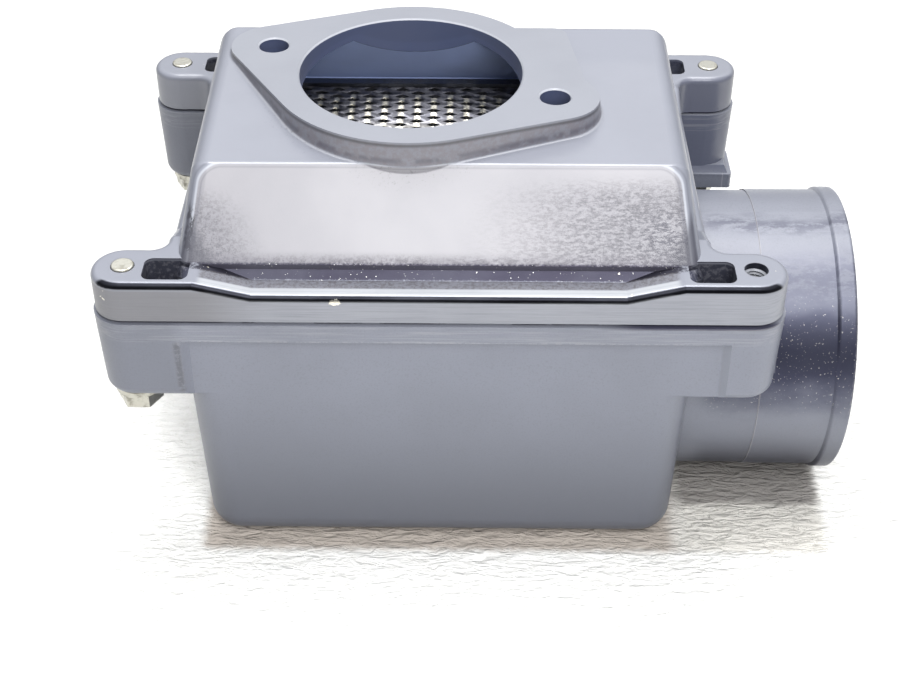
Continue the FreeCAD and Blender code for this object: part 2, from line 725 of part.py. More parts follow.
LEAN = "@hood_lean/(@boss_height-@gasket_thick)*@element_top"
FRAME_X = "@hood_side-@hood_wall-%s-@element_gap" % LEAN
FRAME_Y = "@hood_root_y-@hood_wall-@element_gap"
FRAME_LOW = "@joint_z-@element_depth"

frame = new_body("element_frame")
wall_plan = new_sketch(frame, "frame_wall_plan", "XY_Plane", FRAME_LOW)
rectangle(wall_plan, FRAME_X, FRAME_Y)
pad(frame, "frame_wall", wall_plan, "@element_depth+@element_top")
round_edges(frame, "frame_corners", "@hood_corner", lambda edge: rises(edge, 10))
inner_plan = new_sketch(frame, "frame_inner_plan", "XY_Plane", FRAME_LOW + "+@element_sheet")
rectangle(inner_plan, FRAME_X + "-@element_sheet", FRAME_Y + "-@element_sheet")
pocket(frame, "frame_inner", inner_plan, "@element_depth+@element_top-2*@element_sheet", up=True)
lip_plan = new_sketch(frame, "frame_lip_plan", "XY_Plane", FRAME_LOW + "-1")
rectangle(lip_plan, FRAME_X + "-@element_lip", FRAME_Y + "-@element_lip")
pocket(frame, "frame_mouths", lip_plan, "@element_depth+@element_top+2", up=True)
rim_plan = new_sketch(frame, "frame_rim_plan", "XY_Plane", "@joint_z-@element_sheet")
rectangle(rim_plan, RIM_X + "-@rim_gap", RIM_Y + "-@rim_gap")
rectangle(rim_plan, FRAME_X + "-@element_sheet/2", FRAME_Y + "-@element_sheet/2")
pad(frame, "frame_rim", rim_plan, "@element_sheet")
frame.Label = "element_frame"


def expanded_screen(label, level):
    """An expanded-metal sheet: staggered rows of diamond openings inside a plain border."""
    body = new_body(label + "_blank")
    plan = new_sketch(body, label + "_plan", "XY_Plane", level)
    rectangle(plan, FRAME_X + "-@element_sheet-@rim_gap", FRAME_Y + "-@element_sheet-@rim_gap")
    pad(body, label + "_sheet", plan, "@screen_thick")
    half_x = value(FRAME_X + "-@element_lip")
    half_y = value(FRAME_Y + "-@element_lip")
    across, along = size("screen_long"), size("screen_short") / 2
    columns = int(2 * half_x / across)
    rows = int(2 * half_y / along)
    diamonds = []
    wide = (across - size("screen_strand")) / 2
    tall = (2 * along - size("screen_strand")) / 2
    bottom = value(level) - 1
    for row in range(rows):
        count = columns - row % 2
        for column in range(count):
            x = (column - (count - 1) / 2) * across
            y = (row - (rows - 1) / 2) * along
            spots = [(x - wide, y), (x, y - tall), (x + wide, y), (x, y + tall), (x - wide, y)]
            wire = Part.makePolygon([FreeCAD.Vector(a, b, bottom) for a, b in spots])
            face = Part.Face(wire)
            diamonds.append(face.extrude(FreeCAD.Vector(0, 0, size("screen_thick") + 2)))
    openings = doc.addObject("Part::Feature", label + "_openings")
    openings.Shape = Part.makeCompound(diamonds)
    result = cut(label + "_cut", body, openings)
    result.Label = label
    return result


upper_screen = expanded_screen("upper_screen",
                               "@joint_z+@element_top-@element_sheet-@screen_thick")
lower_screen = expanded_screen("lower_screen", FRAME_LOW + "+@element_sheet")

# The case bolts: hex heads and washers under the ears, ends just proud of the ear tops.

pieces = [upper_case, gasket, lower_case, frame, upper_screen, lower_screen]
for corner in ("front_left", "rear_left", "rear_right"):
    sign_x, sign_y = CORNERS[corner]
    under = EAR_UNDER if corner != "rear_right" else LUG_UNDER
    across = "%d*%s" % (sign_x, BOLT_X)
    back = "%d*%s" % (sign_y, BOLT_Y)
    washer = new_body(corner + "_washer")
    washer_plan = new_sketch(washer, corner + "_washer_plan", "XY_Plane", under)
    circle(washer_plan, across, back, "@washer_radius")
    circle(washer_plan, across, back, "@clear_radius")
    pad(washer, corner + "_washer_disc", washer_plan, "@washer_thick", down=True)
    washer.Label = corner + "_washer"

    bolt = new_body(corner + "_bolt")
    head_plan = new_sketch(bolt, corner + "_head_plan", "XY_Plane", under + "-@washer_thick")
    polygon(head_plan, [
        ("%s+@head_flats*%.9f" % (across, math.cos(math.radians(60 * step)) / 3 ** 0.5),
         "%s+@head_flats*%.9f" % (back, math.sin(math.radians(60 * step)) / 3 ** 0.5))
        for step in range(6)
    ])
    pad(bolt, corner + "_head", head_plan, "@head_height", down=True)
    shank_plan = new_sketch(bolt, corner + "_shank_plan", "XY_Plane", EAR_TOP + "+@bolt_proud")
    circle(shank_plan, across, back, "@bolt_radius")
    pad(bolt, corner + "_shank", shank_plan,
        "%s+@bolt_proud-(%s-@washer_thick)+1" % (EAR_TOP, under), down=True)
    round_edges(bolt, corner + "_tip", "@bolt_radius/6",
                lambda edge: edge.BoundBox.ZMin > value(EAR_TOP) - 2)
    bolt.Label = corner + "_bolt"
    pieces += [washer, bolt]

doc.recompute()
for item in doc.Objects:
    if "Invalid" in item.State or "Error" in item.State:
        raise RuntimeError("%s did not build" % item.Name)
os.makedirs("parts", exist_ok=True)
for piece in pieces:
    if piece.Shape.isNull() or not piece.Shape.isValid():
        raise RuntimeError("%s is not a sound solid" % piece.Label)
    if len(piece.Shape.Solids) != 1:
        raise RuntimeError("%s is %d solids" % (piece.Label, len(piece.Shape.Solids)))
    piece.Shape.exportStep("parts/%s.step" % piece.Label)
    print(piece.Label, round(piece.Shape.Volume))
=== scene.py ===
import math

import bmesh
import bpy
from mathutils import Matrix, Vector


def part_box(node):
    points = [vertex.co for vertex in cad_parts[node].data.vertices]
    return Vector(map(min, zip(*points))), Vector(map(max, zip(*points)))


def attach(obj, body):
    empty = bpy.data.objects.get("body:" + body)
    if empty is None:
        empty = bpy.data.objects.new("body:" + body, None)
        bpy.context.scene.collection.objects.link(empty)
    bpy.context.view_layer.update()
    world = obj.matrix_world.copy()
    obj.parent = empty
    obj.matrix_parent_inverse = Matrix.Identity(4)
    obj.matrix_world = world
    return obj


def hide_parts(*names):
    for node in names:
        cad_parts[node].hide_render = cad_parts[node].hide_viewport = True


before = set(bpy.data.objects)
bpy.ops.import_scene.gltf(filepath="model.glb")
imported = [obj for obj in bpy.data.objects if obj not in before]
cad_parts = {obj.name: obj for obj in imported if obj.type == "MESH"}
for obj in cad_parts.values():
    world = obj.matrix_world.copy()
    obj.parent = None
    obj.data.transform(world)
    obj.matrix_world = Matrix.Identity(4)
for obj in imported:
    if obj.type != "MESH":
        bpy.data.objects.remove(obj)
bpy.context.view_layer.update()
MM = 0.001

# Places that the materials follow, in millimetres. The edge of a hole is the radius at which
# its dark inside ends.
BORE = (-8.2, 4.2)
BORE_RADIUS = 29.5
FLANGE_HOLES = ((-45.8, 17.9), (29.4, -9.5))
FLANGE_HOLE_EDGE = 4.25
FLANGE_TOP = 113.5
OPEN_HOLE = (78.0, -52.0)
OPEN_HOLE_EDGE = 3.4
JOINT = 77.6
SEAT = JOINT + 0.8
ROOT_Y = 50.7
FRONT_FACE = -60.0
PIPE_AXIS = (-9.7, 39.8)

# Each plane of the hood: a point on it (y, z) and its outward direction (y, z). The painted-light blue
# of the hollow reaches HOOD_HALF to each side at the seat, less HOOD_LEAN for a millimetre of height.
FRONT_SLOPE = ((-32.0, 107.0), (-0.690, 0.724))
REAR_SLOPE = ((30.0, 112.8), (0.752, 0.659))
ROOF = ((-32.0, 107.0), (-0.093, 0.996))
HOOD_LEAN = 0.168
HOOD_HALF = 65.1

# The painted highlight line round the front panel: its top, its half width and its corners' radius,
# then the panel's foot and how far one millimetre of height runs along the slope.
PANEL_TOP = 107.0
PANEL_HALF = 60.4
PANEL_CORNER = 5.5
PANEL_FOOT = 89.3
ALONG_SLOPE = 1.38

# The enamel's tones, as the overexposed photograph shows them. The TOP tones are paler copies of the
# SIDE tones for faces that turn up: painted light.
SIDE_TONE = (0.175, 0.183, 0.215)
TOP_TONE = (0.205, 0.215, 0.255)
PANEL_TONE = (0.235, 0.228, 0.245)
LOWER_SIDE_TONE = (0.166, 0.177, 0.218)
LOWER_TOP_TONE = (0.21, 0.22, 0.26)
SCUFF = (0.055, 0.050, 0.052)
BLACK = (0.005, 0.005, 0.008)
NAVY = (0.33, 0.42, 0.72)
BORE_NAVY = (0.054, 0.070, 0.142)
EAR_SHADE = (0.04, 0.046, 0.085)
BARE_METAL = (0.72, 0.68, 0.58)


class Graph:
    """A short way to write a material's nodes; places are in millimetres."""

    def __init__(self, name):
        self.material = bpy.data.materials.new(name)
        self.material.use_nodes = True
        self.tree = self.material.node_tree
        self.tree.nodes.clear()
        self.shader = self.add("ShaderNodeBsdfPrincipled")
        self.output = self.add("ShaderNodeOutputMaterial")
        self.tree.links.new(self.shader.outputs[0], self.output.inputs["Surface"])
        scale = self.add("ShaderNodeVectorMath", operation="SCALE")
        self.feed(scale.inputs[0], self.add("ShaderNodeTexCoord").outputs["Object"])
        scale.inputs["Scale"].default_value = 1 / MM
        self.place = scale.outputs[0]
        self.x, self.y, self.z = self.axes(self.place)
        normal = self.add("ShaderNodeNewGeometry").outputs["Normal"]
        self.to_right, self.to_back, self.to_top = self.axes(normal)
        self.color = None

    def add(self, kind, **settings):
        node = self.tree.nodes.new(kind)
        for key, value in settings.items():
            setattr(node, key, value)
        return node

    def feed(self, socket, value):
        if isinstance(value, bpy.types.NodeSocket):
            self.tree.links.new(value, socket)
        elif isinstance(value, (tuple, list)) and len(value) == 3 and socket.type == "RGBA":
            socket.default_value = (*value, 1.0)
        else:
            socket.default_value = value

    def calc(self, operation, first, second=0.0):
        node = self.add("ShaderNodeMath", operation=operation)
        self.feed(node.inputs[0], first)
        self.feed(node.inputs[1], second)
        return node.outputs[0]

    def chain(self, operation, values):
        total = values[0]
        for value in values[1:]:
            total = self.calc(operation, total, value)
        return total

    def times(self, *values):
        return self.chain("MULTIPLY", values)

    def plus(self, *values):
        return self.chain("ADD", values)

    def most(self, *values):
        return self.chain("MAXIMUM", values)

    def less(self, first, second):
        return self.calc("SUBTRACT", first, second)

    def size(self, value):
        return self.calc("ABSOLUTE", value)

    def reach(self, first, second):
        return self.calc("SQRT", self.plus(self.times(first, first), self.times(second, second)))

    def ramp(self, value, low, high):
        """0 below low and 1 above high, eased; low may be the larger."""
        node = self.add("ShaderNodeMapRange", interpolation_type="SMOOTHSTEP")
        flip = low > high
        self.feed(node.inputs["Value"], value)
        node.inputs["From Min"].default_value = high if flip else low
        node.inputs["From Max"].default_value = low if flip else high
        node.inputs["To Min"].default_value = 1.0 if flip else 0.0
        node.inputs["To Max"].default_value = 0.0 if flip else 1.0
        return node.outputs[0]

    def band(self, value, low, high, soft):
        """1 between low and high, fading over soft on both sides."""
        return self.times(self.ramp(value, low - soft, low + soft),
                          self.ramp(value, high + soft, high - soft))

    def axes(self, vector):
        node = self.add("ShaderNodeSeparateXYZ")
        self.feed(node.inputs[0], vector)
        return node.outputs

    def stretched(self, x, y, z):
        node = self.add("ShaderNodeMapping")
        self.feed(node.inputs["Vector"], self.place)
        node.inputs["Scale"].default_value = (x, y, z)
        return node.outputs[0]

    def noise(self, grain, detail=3.0, rough=0.5, vector=None, distort=0.0):
        """Cloudy noise whose blotches are about grain millimetres wide."""
        node = self.add("ShaderNodeTexNoise")
        self.feed(node.inputs["Vector"], vector or self.place)
        node.inputs["Scale"].default_value = 1.0 / grain
        node.inputs["Detail"].default_value = detail
        node.inputs["Roughness"].default_value = rough
        node.inputs["Distortion"].default_value = distort
        return node.outputs["Fac"]

    def mix(self, amount, first, second):
        node = self.add("ShaderNodeMix", data_type="RGBA")
        self.feed(node.inputs[0], amount)
        self.feed(node.inputs[6], first)
        self.feed(node.inputs[7], second)
        return node.outputs[2]

    def coat(self, mask, tone):
        """Lays a tone over the colour so far, where the mask lets it through."""
        self.color = self.mix(mask, self.color, tone)

    def bump(self, height, strength, distance=0.1, after=None):
        node = self.add("ShaderNodeBump")
        node.inputs["Strength"].default_value = strength
        node.inputs["Distance"].default_value = distance * MM
        self.feed(node.inputs["Height"], height)
        if after is not None:
            self.feed(node.inputs["Normal"], after)
        return node.outputs[0]

    def above(self, plane):
        """How far a place lies outside one of the hood's planes."""
        (y0, z0), (ny, nz) = plane
        return self.plus(self.times(self.less(self.y, y0), ny), self.times(self.less(self.z, z0), nz))

    def from_axis(self, x, y):
        """The distance from an upright axis."""
        return self.reach(self.less(self.x, x), self.less(self.y, y))

    def finish(self, rough, metallic, normal, specular=None):
        """Gives the shader the colour so far and what else the surface needs."""
        self.feed(self.shader.inputs["Base Color"], self.color)
        self.feed(self.shader.inputs["Roughness"], rough)
        self.feed(self.shader.inputs["Metallic"], metallic)
        self.feed(self.shader.inputs["Normal"], normal)
        if specular is not None:
            self.shader.inputs["Specular IOR Level"].default_value = specular
        return self.material


# In the paints below, a number beside g.x, g.y or g.z is a place in millimetres, one beside
# g.to_top, g.to_back or g.to_right says how far a face turns that way, and the last number of
# a band says how softly it ends.
def tinted(tone, factor):
    return tuple(min(1.0, channel * factor) for channel in tone)


def coat_panel(g, flecks):
    """The sloping front panel: painted pale as a painted reflection, with scuffs at both ends, painted
    shade at its ends and foot, and a painted highlight line round it.
    """
    slope = g.above(FRONT_SLOPE)
    down = g.times(g.less(PANEL_TOP, g.z), ALONG_SLOPE)
    # Below this height the line spreads towards the foot.
    spread_from = 104.0
    half = g.plus(PANEL_HALF, g.times(down, -0.02), g.times(g.less(spread_from, g.z), 0.17))
    corner_x = g.most(g.less(g.size(g.x), g.less(half, PANEL_CORNER)), 0.0)
    corner_z = g.most(g.less(PANEL_CORNER, down), 0.0)
    inset = g.less(PANEL_CORNER, g.reach(corner_x, corner_z))
    facing = g.times(g.band(slope, -1.6, 0.9, 0.3), g.ramp(g.y, -31.6, -32.1),
                     g.ramp(g.z, PANEL_FOOT - 0.4, PANEL_FOOT), g.ramp(g.to_back, -0.3, -0.5))
    on_panel = g.times(facing, g.ramp(inset, 0.0, 0.5))
    # Painted reflection: the panel is painted pale.
    g.coat(g.times(on_panel, 0.9), PANEL_TONE)

    # The left end is flecked and the right end dragged lengthwise as wear; both ends, the foot and a
    # band at the right end are also darkened as painted shade.
    fine = g.ramp(g.noise(0.45, 3, 0.7), 0.5, 0.62)
    left_end = g.times(g.ramp(g.plus(g.x, g.times(g.z, 0.6)), 14.0, -2.0), g.ramp(g.z, 104, 97))
    right_end = g.times(g.ramp(g.plus(g.x, g.times(g.z, -0.3)), -28.0, 24.0),
                        g.ramp(g.z, 106, 100))
    foot = g.times(g.ramp(g.z, 91.6, 89.6), 0.8)
    dragged = g.ramp(g.noise(0.75, 6, 0.8, g.stretched(0.45, 1, 1.2)), 0.45, 0.60)
    coarse = g.most(g.times(flecks, g.ramp(g.x, 5, -5)), g.times(dragged, g.ramp(g.x, -5, 5)))
    worn_paint = g.plus(g.times(coarse, 0.75), g.times(fine, 0.25))
    # Wear at both ends and painted shade at the foot share this one mask.
    scuffs_and_foot_shade = g.times(on_panel, g.most(left_end, right_end, foot), worn_paint)
    g.coat(g.calc("MINIMUM", scuffs_and_foot_shade, 0.85), SCUFF)
    # Painted shade: both ends, the foot and a band at the right end are darkened.
    g.coat(g.times(on_panel, g.most(left_end, right_end), 0.5), (0.12, 0.118, 0.14))
    g.coat(g.times(facing, g.ramp(g.z, 92.0, PANEL_FOOT), 0.5), (0.07, 0.062, 0.085))
    right_dark = g.times(on_panel, g.ramp(g.x, 45, 57), g.band(g.z, 91.5, 98.5, 2.0), dragged, 0.65)
    g.coat(right_dark, (0.035, 0.035, 0.055))

    # The painted highlight line, with a painted dark line of shade on each side of it.
    g.coat(g.times(facing, g.band(inset, -0.3, 0.25, 0.25), 0.5), (0.55, 0.57, 0.62))
    beside = g.most(g.band(inset, -1.3, -0.8, 0.25), g.band(inset, 0.8, 1.2, 0.25))
    g.coat(g.times(facing, beside, 0.4), (0.07, 0.075, 0.10))

    # Black streaks at the left end, and the two lower corners darkened.
    streak_left = g.times(facing, g.ramp(inset, 0.8, 0.2), g.ramp(g.x, -50, -54),
                          g.band(g.z, 90.5, 98.5, 1.5))
    broken = g.ramp(g.noise(2.0, 4, 0.7, g.stretched(1.5, 1, 0.35)), 0.46, 0.56)
    g.coat(g.times(streak_left, broken), BLACK)
    lower_corners_darkened = g.times(facing, g.ramp(g.plus(g.size(g.x), g.times(g.z, -0.8)), -17.5, -13.5))
    g.coat(g.times(lower_corners_darkened, 0.8), (0.03, 0.03, 0.045))
    return scuffs_and_foot_shade


def coat_root(g, flecks, frayed):
    """The hood's root, painted nearly black as painted shade, with bright specks, and the rim's top in
    front of it.
    """
    root = g.times(g.band(g.plus(g.size(g.y), frayed), ROOT_Y - 0.6, ROOT_Y + 2.3, 0.4),
                   g.band(g.plus(g.z, frayed), 85.8, 89.5, 0.35), g.ramp(g.size(g.x), 69.0, 66.0))
    riser = g.ramp(g.to_top, 0.55, 0.25)
    # Painted shade: the root is painted nearly black.
    g.coat(g.times(root, 0.96), g.mix(riser, (0.014, 0.012, 0.024), (0.055, 0.050, 0.074)))
    specks = g.times(root, g.ramp(g.noise(0.45, 2, 0.5), 0.71, 0.74))
    g.coat(specks, (0.7, 0.7, 0.66))

    # The rim's top is mottled near the root, with a strip painted pale as a painted reflection and a
    # thin line in it.
    rim_top = g.times(g.ramp(g.to_top, 0.88, 0.95), g.ramp(g.z, 89.4, 89.0),
                      g.ramp(g.size(g.y), ROOT_Y + 1.6, ROOT_Y + 2.0))
    between = g.times(rim_top, g.ramp(g.size(g.x), 62.0, 57.0))
    near_root = g.times(between, g.ramp(g.size(g.y), 56.6, 55.8))
    g.coat(g.times(near_root, g.plus(0.45, g.times(flecks, 0.45))), (0.055, 0.050, 0.056))
    strip = g.times(between, g.ramp(g.size(g.y), 55.9, 56.6))
    g.coat(g.times(strip, 0.85), (0.40, 0.415, 0.44))
    g.coat(g.times(strip, g.band(g.size(g.y), 57.4, 57.7, 0.15), 0.4), (0.25, 0.26, 0.29))
    # The root is made metallic so that it reflects almost nothing: painted shade.
    return g.times(root, 0.85, g.less(1.0, g.times(riser, 0.7)))


def coat_rim_edge(g):
    """The rim is painted nearly black, a painted dark reflection, where its front and rear edges turn
    down; there it is made glossy black metal that reflects almost nothing.
    """
    edge = g.times(g.band(g.to_top, 0.16, 0.93, 0.07), g.ramp(g.z, 90.5, 90.0),
                   g.ramp(g.z, 82.0, 83.0), g.ramp(g.size(g.y), 57.0, 58.0),
                   g.ramp(g.size(g.to_back), 0.12, 0.32))
    # Painted shade: a dark reflection along the rim's rounded edges.
    g.coat(g.times(edge, 0.95), BLACK)
    return edge


def coat_pockets(g):
    """The pockets beside the bolts and the empty threaded hole are painted dark inside as painted
    shade, with pale lint in the pockets.
    """
    pocket = g.times(g.band(g.size(g.x), 60.8, 73.3, 0.5), g.band(g.size(g.y), 46.6, 58.7, 0.4),
                     g.ramp(g.z, 89.1, 88.5))
    hole = g.times(g.ramp(g.from_axis(*OPEN_HOLE), OPEN_HOLE_EDGE + 0.1, OPEN_HOLE_EDGE - 0.1),
                   g.ramp(g.z, 89.4, 89.1))
    # Painted shade inside the pockets and the open hole.
    g.coat(g.times(g.most(pocket, hole), 0.9), (0.036, 0.038, 0.058))
    lint = g.times(pocket, g.ramp(g.noise(1.1, 4, 0.7), 0.47, 0.62), 0.6)
    g.coat(lint, (0.20, 0.20, 0.23))
    return g.times(pocket, 0.4), g.times(hole, 0.8)


def coat_skirt(g, from_bore):
    """The skirt under the oval flange is stained, with painted shade under the flange's edge, and
    painted highlight lines follow its foot and rim.
    """
    over_roof = g.above(ROOF)
    skirt = g.times(g.ramp(over_roof, 0.15, 0.5),
                    g.ramp(g.z, FLANGE_TOP - 0.3, FLANGE_TOP - 0.8), g.ramp(g.to_top, 0.75, 0.5),
                    g.ramp(from_bore, BORE_RADIUS + 0.5, BORE_RADIUS + 1.1))
    stain = g.ramp(g.noise(1.4, 6, 0.75), 0.42, 0.58)
    g.coat(g.times(skirt, g.plus(0.2, g.times(stain, 0.6))), (0.15, 0.137, 0.155))
    # Painted shade under the flange's overhanging edge.
    under_edge = g.times(skirt, g.ramp(g.z, FLANGE_TOP - 1.7, FLANGE_TOP - 0.9))
    g.coat(g.times(under_edge, 0.75), (0.03, 0.028, 0.035))
    foot = g.times(skirt, g.band(over_roof, 0.9, 2.2, 0.6), g.ramp(g.noise(6, 3, 0.6), 0.42, 0.55))
    g.coat(g.times(foot, 0.55), (0.05, 0.045, 0.065))
    # Painted highlights: a pale halo at the skirt's foot and a pale line along the flange's rim.
    halo = g.times(g.band(over_roof, 0.12, 0.5, 0.2), g.ramp(g.z, 111.5, 111.0),
                   g.ramp(from_bore, BORE_RADIUS + 1.5, BORE_RADIUS + 2.5), g.ramp(g.to_top, 0.55, 0.8))
    g.coat(g.times(halo, 0.4), (0.50, 0.50, 0.52))
    rim_line = g.times(g.band(g.to_top, 0.25, 0.9, 0.1),
                       g.ramp(g.z, FLANGE_TOP - 1.0, FLANGE_TOP - 0.6))
    g.coat(g.times(rim_line, 0.5), (0.52, 0.54, 0.58))
    near_skirt = g.times(g.ramp(over_roof, 0.6, 0.2), g.ramp(from_bore, 43.0, 38.0),
                         g.ramp(from_bore, BORE_RADIUS + 0.5, BORE_RADIUS + 1.5),
                         g.ramp(g.y, 0.0, -12.0))
    g.coat(g.times(near_skirt, g.ramp(g.noise(0.9, 5, 0.7), 0.56, 0.66), 0.35), SCUFF)


def coat_rim_side(g, frayed):
    """The rim's upright faces are brushed along their length, worn and chipped, and painted darker
    towards the left end as painted shade.
    """
    rim_side = g.times(g.ramp(g.to_top, 0.5, 0.2), g.ramp(g.z, 88.0, 87.0),
                       g.ramp(g.size(g.y), 50, 54))
    brushed = g.noise(3.0, 5, 0.75, g.stretched(0.12, 1, 7))
    g.coat(g.times(rim_side, g.ramp(brushed, 0.30, 0.60), 0.5), (0.30, 0.312, 0.345))
    g.coat(g.times(rim_side, g.ramp(brushed, 0.60, 0.72), 0.25), (0.12, 0.12, 0.125))
    # Painted shade: the rim's left end is darker.
    g.coat(g.times(rim_side, g.ramp(g.x, -40, -62), 0.7), (0.115, 0.112, 0.12))
    patchy = g.ramp(g.noise(3.0, 3, 0.6, g.stretched(0.4, 1, 1)), 0.36, 0.44)
    worn_line = g.times(g.band(g.z, 83.75, 84.1, 0.15), g.ramp(g.y, FRONT_FACE, FRONT_FACE - 0.3),
                        g.ramp(g.x, -2, -14), g.ramp(g.x, -58, -54), patchy)
    g.coat(g.times(worn_line, 0.8), (0.62, 0.61, 0.56))

    # One large chip on the front, and small ones anywhere on the rim.
    chip_x, chip_z = -25.4, 84.4
    chip_size = g.reach(g.less(g.x, chip_x), g.times(g.less(g.z, chip_z), 1.8))
    large_chip = g.times(g.ramp(g.plus(chip_size, frayed, frayed), 1.5, 1.2),
                         g.ramp(g.y, FRONT_FACE + 1.4, FRONT_FACE + 0.8))
    g.coat(large_chip, (0.74, 0.70, 0.60))
    chips = g.times(g.ramp(g.noise(2.4, 3, 0.6), 0.735, 0.75), g.ramp(g.z, 92, 90),
                    g.ramp(g.size(g.y), 49.5, 50.5))
    g.coat(chips, BARE_METAL)
    return rim_side, brushed


def far_ear_shade(g, spread, low, high):
    """The shaded fronts of the far ears, from low to high of spread, darker on the right one."""
    fronts = g.times(g.ramp(g.y, 30, 36), g.ramp(g.to_back, -0.3, -0.6), g.ramp(spread, low, high))
    return g.times(fronts, g.plus(0.1, g.times(g.ramp(g.x, -5, 5), 0.5)))


def coat_inside(g, from_bore):
    """The hood's hollow, the bore and the flange holes are blue inside: dark blue in the bore and
    holes, and a bright blue in the hollow that is painted light.
    """
    width = g.plus(g.size(g.x), g.times(g.less(g.z, SEAT), HOOD_LEAN))
    inside = g.times(g.ramp(g.above(FRONT_SLOPE), -1.2, -1.9), g.ramp(g.above(REAR_SLOPE), -1.2, -1.9),
                     g.ramp(g.above(ROOF), -1.4, -2.0),
                     g.ramp(g.size(g.y), ROOT_Y - 1.4, ROOT_Y - 2.0),
                     g.ramp(width, HOOD_HALF + 0.3, HOOD_HALF - 0.3))
    below_top = g.ramp(g.z, FLANGE_TOP - 0.3, FLANGE_TOP - 0.5)
    bored = g.times(g.ramp(from_bore, BORE_RADIUS + 0.25, BORE_RADIUS + 0.1), below_top)
    near_holes = [g.ramp(g.from_axis(*spot), FLANGE_HOLE_EDGE + 0.1, FLANGE_HOLE_EDGE - 0.1)
                  for spot in FLANGE_HOLES]
    drilled = g.times(g.most(*near_holes), below_top)

    # The flange's top and the far ears come first, because the bore's edge lies over them.
    table = g.times(g.ramp(g.z, FLANGE_TOP - 0.6, FLANGE_TOP - 0.3), g.ramp(g.to_top, 0.9, 0.97))
    g.coat(g.times(table, 0.5), (0.26, 0.27, 0.30))
    g.coat(far_ear_shade(g, g.size(g.x), 62, 66), EAR_SHADE)
    # Painted light: the hollow is painted a bright blue, far paler than the enamel.
    g.coat(g.times(inside, 0.95), NAVY)
    g.coat(g.times(bored, 0.97), BORE_NAVY)
    g.coat(g.times(drilled, 0.95), tinted(BORE_NAVY, 0.9))
    return g.most(inside, bored, drilled)


def upper_case_paint():
    """Worn enamel: painted paler where it faces up as painted light, brushed on the rim, with scuffs on
    the hood.
    """
    g = Graph("upper_case_paint")
    cloud = g.noise(26, 4, 0.55)
    flecks = g.ramp(g.noise(0.9, 6, 0.8, g.stretched(1, 1, 1.3)), 0.46, 0.58)
    frayed = g.times(g.less(g.noise(0.8, 3, 0.7), 0.5), 1.6)
    from_bore = g.from_axis(*BORE)
    # Painted light: faces that turn up are painted paler than the sides.
    g.color = g.mix(g.ramp(g.to_top, 0.15, 0.85), SIDE_TONE, TOP_TONE)
    scuffs_and_foot_shade = coat_panel(g, flecks)
    root_painted_shade = coat_root(g, flecks, frayed)
    edge_painted_shade = coat_rim_edge(g)
    hollow_painted_shade = coat_pockets(g)
    coat_skirt(g, from_bore)
    rim_side, brushed = coat_rim_side(g, frayed)
    dark = coat_inside(g, from_bore)
    g.coat(g.times(g.ramp(cloud, 0.35, 0.7), 0.14), (0.12, 0.125, 0.15))
    g.coat(g.times(g.ramp(g.noise(0.35, 2, 0.6), 0.66, 0.78), 0.16), (0.09, 0.09, 0.1))

    rough = g.plus(0.24, g.times(cloud, 0.14), g.times(scuffs_and_foot_shade, 0.25), g.times(rim_side, 0.1),
                   g.times(dark, 0.6))
    normal = g.bump(g.noise(0.8, 3, 0.6), 0.16, 0.05)
    normal = g.bump(g.noise(7, 2, 0.5), 0.25, 0.35, after=normal)
    normal = g.bump(g.times(rim_side, brushed), 0.5, 0.05, after=normal)
    normal = g.bump(scuffs_and_foot_shade, 0.35, 0.06, after=normal)
    # The metallic masks make the root, the rim's turned-down edges, the pockets and the open hole
    # reflect almost nothing: painted shade.
    return g.finish(rough, g.most(root_painted_shade, edge_painted_shade, *hollow_painted_shade), normal, specular=0.75)


